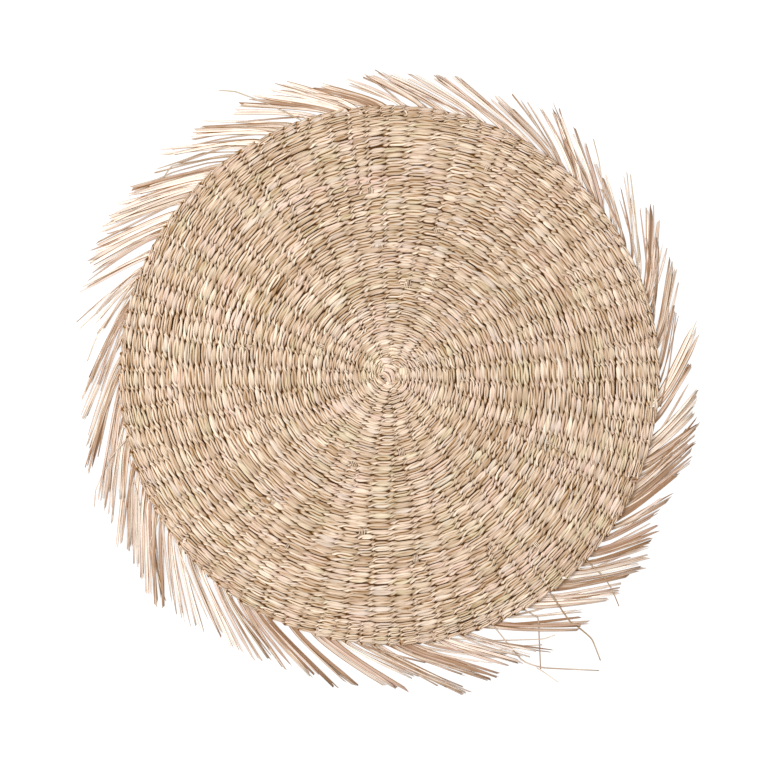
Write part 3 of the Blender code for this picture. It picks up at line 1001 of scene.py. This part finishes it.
# Range of the shade painted at a fringe blade's edges.
BLADE_EDGE_SHADES = (0.2, 1.1)
TAPER_PLACES = (0, 0.15, 0.6, 0.9, 1)
TAPER = (0.7, 1.1, 1.0, 0.9)
TIP_WIDTHS = (0.25, 0.9)
TIP_LIFTS = (0, 1.2)
TIP_CUT = 1.2
ROOT_ROLL, TIP_ROLL = 0.2, 0.35
ROOT_DEPTHS = (3.5 * MM, 8 * MM)
ROOT_LEAD, ROOT_TURN = 0.012, 0.006
RIM_GAP = 0.5 * MM
BEND_PULL, END_PULL = 0.72, 0.28
ROOT_HUMPS = (0, 1.3 * MM)
HUMP_PLACE, HUMP_WIDTH = 0.11, 0.09
ROOT_SHADE = 0.3
SHADE_PLACE, SHADE_WIDTH = 0.16, 0.1
TONE_NOISE, TONE_NOISE_LENGTH = 0.15, 0.3
ROOT_FAN, ROOT_SPREAD = 0.9, 0.003
TIP_FAN, TIP_SPREAD = 0.95, 0.006
REACH_SPREAD = 3.0
LIGHT_SPREAD = 0.36
THIN_CHANCES = (0.35, 0.35, 0.2, 0.1)
THIN_ROOTS = (0, 0.02)
THIN_TIPS = (0.01, 0.035)
THIN_REACHES = (-12, 3)
THIN_WIDTHS = (1.0, 1.7)
THIN_LIGHTS = (0.0, 0.6)
STEM_STATIONS = 22
STEM_REST = 1.6 * MM
STEM_FULLNESS = 0.95
STEM_KINK = 0.7
STEM_TAPER_PLACES, STEM_TAPER = (0, 0.8, 1), (1, 0.95, 0.8)
STEM_HUES = (0.4, 0.2)
# Shade painted at a loose stem's edges.
STEM_EDGE_SHADE = 0.35
SECTORS = 12


def polar(radius, angle):
    return np.array([radius * math.cos(angle), radius * math.sin(angle)])


def bump_at(share, peak, width):
    """A soft bump of height 1 somewhere along a blade."""
    return np.exp(-((share - peak) / width) ** 2)


def settle(share, rest):
    """Heights that sink from the middle of the cloth to where a blade rests."""
    return MIDDLE * (1 - share) ** 2 + rest * (1 - (1 - share) ** 2)


def blade_line(root, tip, reach, bow, depth):
    """Points from so deep inside the rim to the tip."""
    share = np.linspace(0, 1, BLADE_STATIONS)[:, None]
    inside = polar(DISC_RADIUS - depth, root - ROOT_LEAD)
    bend = polar(DISC_RADIUS + RIM_GAP, root + ROOT_TURN)
    end = polar(reach, tip)
    control = bend * BEND_PULL + end * END_PULL + polar(1, (root + tip) / 2) * bow
    return ((1 - share) ** 3 * inside + 3 * (1 - share) ** 2 * share * bend
            + 3 * (1 - share) * share ** 2 * control + share ** 3 * end)


def lay_blade(root, tip, reach, width, light, rng):
    """One blade of the fringe, from its place in the rim to its tip."""
    share = np.linspace(0, 1, BLADE_STATIONS)
    line = blade_line(root, tip, reach, rng.uniform(*BLADE_BOWS) * MM, rng.uniform(*ROOT_DEPTHS))
    height = settle(share, rng.uniform(*BLADE_RESTS) * MM) + rng.uniform(*TIP_LIFTS) * MM * share ** 3
    height = height + rng.choice(ROOT_HUMPS) * bump_at(share, HUMP_PLACE, HUMP_WIDTH)
    half_width = width / 2 * np.interp(share, TAPER_PLACES, (*TAPER, rng.uniform(*TIP_WIDTHS)))
    roll = rng.uniform(-ROOT_ROLL, ROOT_ROLL) + rng.uniform(-TIP_ROLL, TIP_ROLL) * share
    lowest = BLADE_HALF_HEIGHT + SKIN + half_width * np.abs(np.sin(roll))
    tone = light + TONE_NOISE * smooth_noise(share, TONE_NOISE_LENGTH, rng)[0]
    # Painted shadow: the blade is darker just past the rim, where the rim's edge shades it.
    tone = tone - ROOT_SHADE * bump_at(share, SHADE_PLACE, SHADE_WIDTH)
    path = np.column_stack([line, np.maximum(height, lowest)])
    blade = ribbon(path, half_width, BLADE_HALF_HEIGHT, roll, tone,
                   rng.normal(*BLADE_HUES), rng.uniform(*BLADE_EDGE_SHADES), rng)
    return cut_tip(blade, rng.uniform(-TIP_CUT, TIP_CUT) * width)


def cut_tip(blade, slant):
    """Cuts a blade's end at an angle: one corner of it comes so much before the middle."""
    ahead = blade.points[-1].mean(axis=0) - blade.points[-2].mean(axis=0)
    ahead /= np.linalg.norm(ahead)
    across = np.array(BLADE_SECTION)[:, :1]
    blade.points[-1] += slant * across * ahead
    return blade


def lay_sheaf(sheaf, rng):
    """The blades of a sheaf, side by side, with a few thin stems among them."""
    blades = []
    for number in range(sheaf.blades):
        beside = (number - (sheaf.blades - 1) / 2) * sheaf.width * MM / DISC_RADIUS
        width = sheaf.width * MM * BLADE_FULLNESS * rng.uniform(*BLADE_WIDTHS)
        root = math.radians(sheaf.root) + ROOT_FAN * beside + rng.normal(0, ROOT_SPREAD)
        tip = math.radians(sheaf.tip) + TIP_FAN * beside + rng.normal(0, TIP_SPREAD)
        reach = sheaf.reach * MM - abs(rng.normal(0, REACH_SPREAD)) * MM
        light = sheaf.light + rng.normal(0, LIGHT_SPREAD)
        blades.append(lay_blade(root, tip, reach, width, light, rng))
    for _ in range(rng.choice(len(THIN_CHANCES), p=THIN_CHANCES)):
        root = math.radians(sheaf.root) + rng.normal(*THIN_ROOTS)
        tip = math.radians(sheaf.tip) + rng.normal(*THIN_TIPS)
        reach = (sheaf.reach + rng.uniform(*THIN_REACHES)) * MM
        width = rng.uniform(*THIN_WIDTHS) * MM
        blades.append(lay_blade(root, tip, reach, width, rng.uniform(*THIN_LIGHTS), rng))
    return blades


def lay_stem(stem, rng):
    """A thin loose stem through the corners that its row gives, with a kink at each."""
    corners = np.array(stem.corners)
    at = np.linspace(0, len(corners) - 1, STEM_STATIONS)
    straight = np.column_stack([np.interp(at, np.arange(len(corners)), line) for line in corners.T])
    line = (STEM_KINK * straight + (1 - STEM_KINK) * bend_path(stem.corners, STEM_STATIONS)) * MM
    share = np.linspace(0, 1, STEM_STATIONS)
    path = np.column_stack([line, settle(share, STEM_REST)])
    taper = np.interp(share, STEM_TAPER_PLACES, STEM_TAPER)
    half_width = stem.width * STEM_FULLNESS * MM / 2 * taper
    return ribbon(path, half_width, BLADE_HALF_HEIGHT, 0.0, stem.light, rng.normal(*STEM_HUES),
                  STEM_EDGE_SHADE, rng)


fringe_pieces = []
for sector in range(SECTORS):
    low, high = sector * 360 / SECTORS, (sector + 1) * 360 / SECTORS
    blades = [blade for sheaf in SHEAVES if low <= sheaf.root < high for blade in lay_sheaf(sheaf, draw)]
    blades += [lay_stem(stem, draw) for stem in STEMS if stem.sector == sector + 1]
    piece = tubes_to_object(f"fringe_blades_{sector + 1:02d}", blades, fringe_material)
    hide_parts(f"fringe_{sector + 1:02d}")
    fringe_pieces.append(piece)

# %% [markdown]
# ## Riding
# Every piece rides on the one body of the mat, and the imported disc is hidden.

# %% Riding
woven_pieces = [*weft_pieces, hub, nubs]
for piece in (ground, *woven_pieces):
    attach(piece, "root")
    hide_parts("woven_disc")
for piece in fringe_pieces:
    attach(piece, "root")

# %% [markdown]
# ## Table and light
# The mat lies on a light table, a plain white sheet lit from below, as for a cut-out picture, so
# no shadow shows beside the rim. A white table lit only from above would have to be lit so
# brightly that it swallows the thin blades. The rest of the light is that of a table-top studio:
# a wide soft lamp on the left that draws the stitches, a weaker one on the right, and an even
# sky that fills the shade.

# %% Table and light
TABLE_SIZE = 6.0
TABLE_LOOK = {
    "Base Color": (0.15, 0.15, 0.15, 1), "Roughness": 0.9, "Specular IOR Level": 0.1,
    "Emission Color": (1, 1, 1, 1), "Emission Strength": 0.85,
}
SKY_LOOK = {"Color": (1, 1, 1, 1), "Strength": 1.06}
LAMPS = named_rows(
    "name position size power",
    ("key_lamp", (-1.75, 0.10, 1.35), 0.8, 76),
    ("fill_lamp", (1.3, 0.5, 1.7), 1.4, 20),
)


def set_inputs(node, values):
    """Gives a node's sockets their values."""
    for socket, value in values.items():
        node.inputs[socket].default_value = value


def hang(lamp):
    """A square lamp that faces the hub."""
    lamp_data = bpy.data.lights.new(lamp.name, "AREA")
    lamp_data.size = lamp.size
    lamp_data.energy = lamp.power
    thing = bpy.data.objects.new(lamp.name, lamp_data)
    thing.location = lamp.position
    x, y, z = lamp.position
    thing.rotation_euler = (0, math.atan2(math.hypot(x, y), z), math.atan2(y, x))
    bpy.context.scene.collection.objects.link(thing)


bpy.ops.mesh.primitive_plane_add(size=TABLE_SIZE, location=(0, 0, 0))
table = bpy.context.active_object
table.name = "table_top"
table_material, _, table_shader = new_material("white_table")
set_inputs(table_shader, TABLE_LOOK)
table.data.materials.append(table_material)
for lamp in LAMPS:
    hang(lamp)
world = bpy.data.worlds.new("studio")
world.use_nodes = True
set_inputs(world.node_tree.nodes["Background"], SKY_LOOK)
bpy.context.scene.world = world
bpy.context.scene.view_settings.view_transform = "Standard"
print(f"{len(LAMPS)} lamps, and a table {TABLE_SIZE:.0f} m across")
